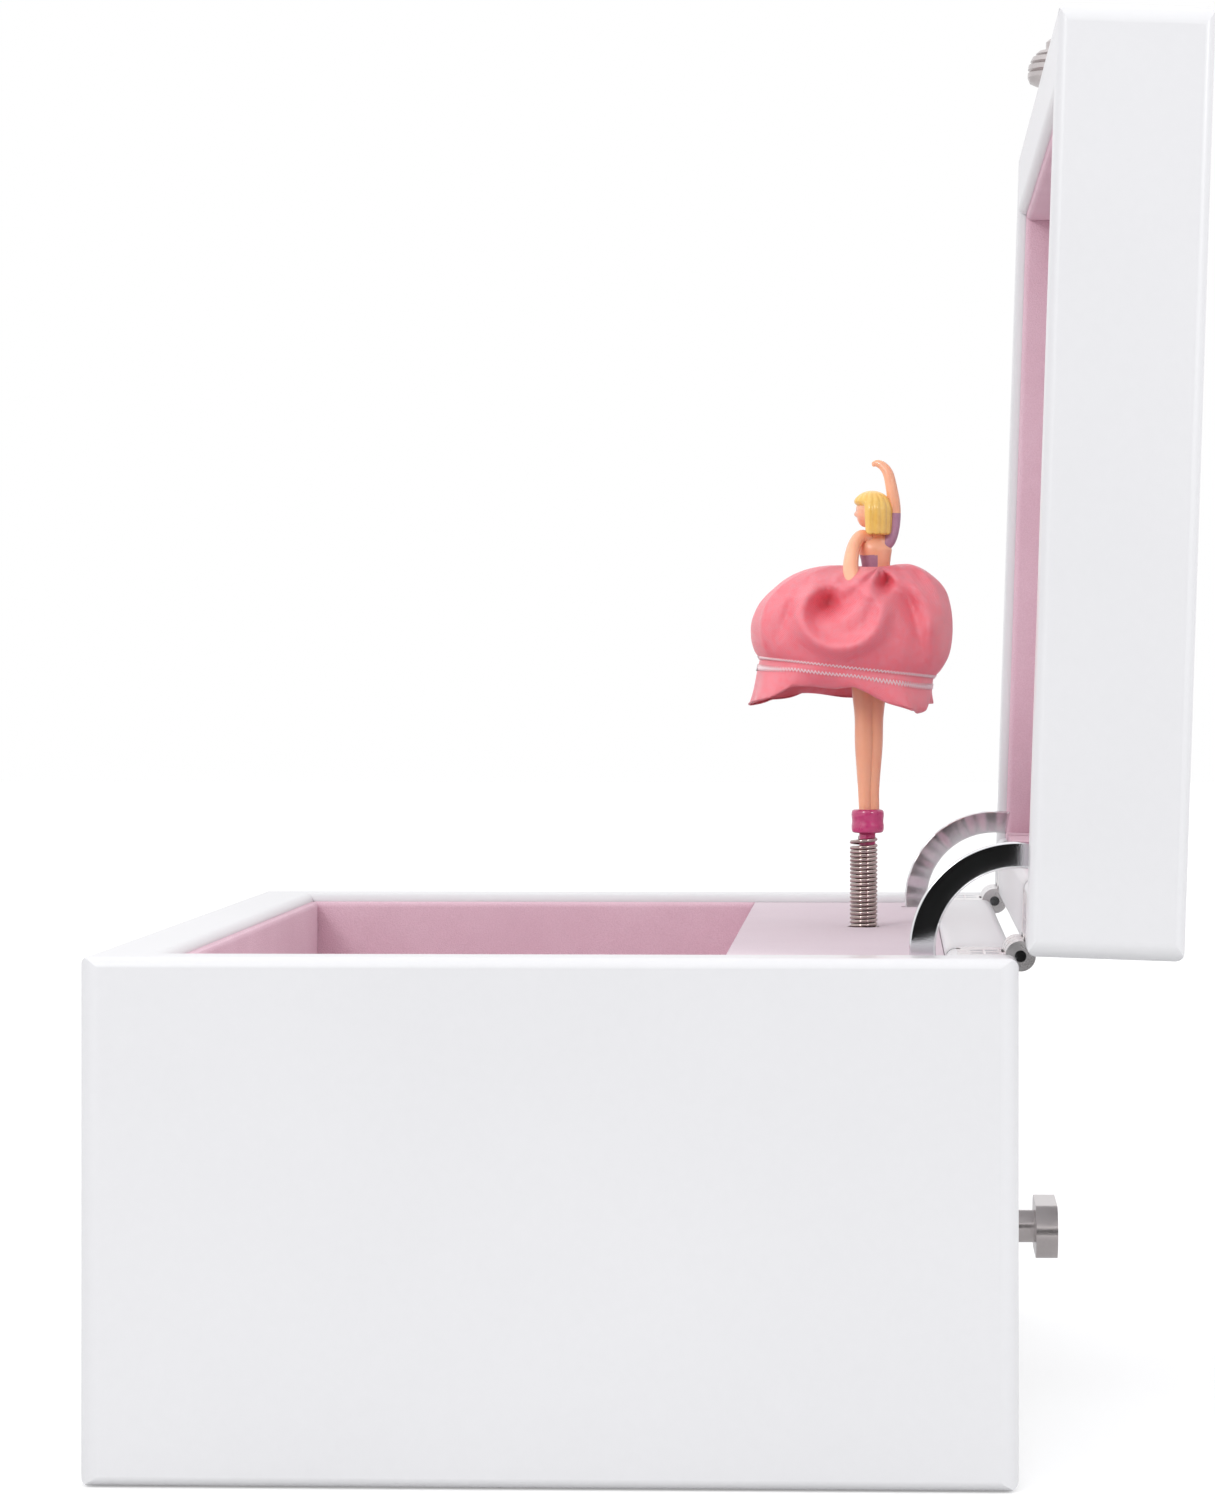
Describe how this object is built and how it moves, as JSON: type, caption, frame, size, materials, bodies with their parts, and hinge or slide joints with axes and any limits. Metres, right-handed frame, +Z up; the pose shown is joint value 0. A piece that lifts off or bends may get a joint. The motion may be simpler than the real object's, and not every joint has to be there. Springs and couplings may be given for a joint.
{
  "type": "ballerina jewellery box",
  "caption": "White lacquered jewellery box with a hinged lid, a velvet tray and a wind-up movement that turns a doll on a coil spring.",
  "frame": {"origin": "centre of the flat underside of the case", "axes": "+X along the width to the right, +Y to the back where the hinges and the key are, +Z up out of the open case"},
  "size_m": [0.15, 0.1328, 0.1798],
  "materials": {
    "case_lacquer": "satin white lacquer on fibreboard",
    "velvet": "short-pile pink velvet on card",
    "flocked_deck": "pale pink flocking",
    "board": "raw fibreboard",
    "hinge_chrome": "bright chrome plate",
    "screw_steel": "zinc-plated steel",
    "mirror_glass": "silvered glass",
    "cast_plate": "raw die-cast zinc",
    "movement_steel": "ground spring steel",
    "movement_brass": "bright brass",
    "movement_plastic": "moulded nylon",
    "spring_nickel": "nickel-plated wire",
    "shoe_paint": "magenta paint on moulded plastic",
    "doll_skin": "peach moulded plastic",
    "leotard_paint": "mauve paint on moulded plastic",
    "doll_hair": "yellow paint on moulded plastic",
    "skirt_satin": "coral-pink satin ribbon"
  },
  "bodies": {
    "case": {"front_panel": "case_lacquer", "back_panel": "case_lacquer", "left_panel": "case_lacquer", "right_panel": "case_lacquer", "base_panel": "case_lacquer", "front_lining": "velvet", "side_linings": "velvet", "partition": "board", "partition_lining": "velvet", "tray_floor_pad": "velvet", "deck_board": "board", "deck_cover": "flocked_deck", "deck_cleats": "board", "case_hinge_leaves": "hinge_chrome", "hinge_pins": "hinge_chrome", "case_hinge_screws": "screw_steel", "bedplate": "cast_plate", "movement_screws": "screw_steel", "comb": "movement_steel", "machine_screws": "screw_steel", "barrel_bridge": "movement_brass", "click_pawl": "movement_steel", "governor_bracket": "cast_plate"},
    "lid": {"lid_front_rail": "case_lacquer", "lid_back_rail": "case_lacquer", "lid_left_rail": "case_lacquer", "lid_right_rail": "case_lacquer", "lid_top_panel": "case_lacquer", "lid_front_lining": "velvet", "lid_back_lining": "velvet", "lid_side_linings": "velvet", "lid_ceiling_pad": "velvet", "lid_mirror": "mirror_glass", "lid_hinge_leaves": "hinge_chrome", "lid_hinge_screws": "screw_steel", "lid_knob": "hinge_chrome"},
    "left_stay": {"quadrant_stay_left": "hinge_chrome"},
    "right_stay": {"quadrant_stay_right": "hinge_chrome"},
    "cylinder": {"spindle": "movement_steel", "music_cylinder": "movement_brass", "cylinder_gear": "movement_brass", "cylinder_pinion": "movement_brass"},
    "barrel": {"spring_barrel": "movement_brass", "mainspring": "movement_steel"},
    "key": {"winding_arbor": "movement_steel", "ratchet_wheel": "movement_steel", "winding_key": "hinge_chrome"},
    "governor_gear": {"governor_wheel": "movement_plastic"},
    "air_brake": {"governor_fan": "movement_plastic"},
    "coil_spring": {"dancer_spring": "spring_nickel"},
    "dancer": {"dancer_shoes": "shoe_paint", "dancer_legs": "doll_skin", "dancer_torso": "leotard_paint", "dancer_head": "doll_skin", "dancer_hair": "doll_hair", "dancer_raised_arm": "doll_skin", "dancer_hip_arm": "doll_skin", "dancer_skirt": "skirt_satin"}
  },
  "joints": [
    {"name": "lid_hinge", "type": "hinge", "parent": "case", "child": "lid", "pos_m": [0, 0.0554, 0.0618], "axis": [1, 0, 0], "range_deg": [0, 91.9]},
    {"name": "left_stay_slide", "type": "hinge", "parent": "case", "child": "left_stay", "pos_m": [0, 0.0554, 0.0618], "axis": [1, 0, 0], "range_deg": [0, 45.95]},
    {"name": "right_stay_slide", "type": "hinge", "parent": "case", "child": "right_stay", "pos_m": [0, 0.0554, 0.0618], "axis": [1, 0, 0], "range_deg": [0, 45.95]},
    {"name": "cylinder_spin", "type": "hinge", "parent": "case", "child": "cylinder", "pos_m": [-0.0075, 0.0365, 0.04], "axis": [0, 0, 1], "continuous": true},
    {"name": "barrel_spin", "type": "hinge", "parent": "case", "child": "barrel", "pos_m": [-0.0075, 0.042, 0.0203], "axis": [0, 1, 0], "continuous": true},
    {"name": "key_wind", "type": "hinge", "parent": "case", "child": "key", "pos_m": [-0.0075, 0.055, 0.0203], "axis": [0, 1, 0], "continuous": true},
    {"name": "governor_wheel_spin", "type": "hinge", "parent": "case", "child": "governor_gear", "pos_m": [0.00183, 0.0365, 0.05], "axis": [0, 0, 1], "continuous": true},
    {"name": "air_brake_spin", "type": "hinge", "parent": "case", "child": "air_brake", "pos_m": [0.00773, 0.03, 0.0517], "axis": [0, 1, 0], "continuous": true},
    {"name": "dancer_fold", "type": "hinge", "parent": "case", "child": "coil_spring", "pos_m": [-0.0075, 0.0365, 0.0653], "axis": [1, 0, 0], "range_deg": [0, 88], "deforming": ["dancer_spring", "dancer_skirt"]},
    {"name": "dancer_spin", "type": "hinge", "parent": "coil_spring", "child": "dancer", "pos_m": [-0.0075, 0.0365, 0.0731], "axis": [0, 0, 1], "continuous": true}
  ],
  "couplings": [
    {"joint": "left_stay_slide", "follows": "lid_hinge", "ratio": 0.5},
    {"joint": "right_stay_slide", "follows": "lid_hinge", "ratio": 0.5},
    {"joint": "dancer_fold", "follows": "lid_hinge", "ratio": 0.9575},
    {"joint": "barrel_spin", "follows": "cylinder_spin", "ratio": -0.33333},
    {"joint": "governor_wheel_spin", "follows": "cylinder_spin", "ratio": -3},
    {"joint": "air_brake_spin", "follows": "cylinder_spin", "ratio": 60},
    {"joint": "dancer_spin", "follows": "cylinder_spin", "ratio": 1}
  ]
}
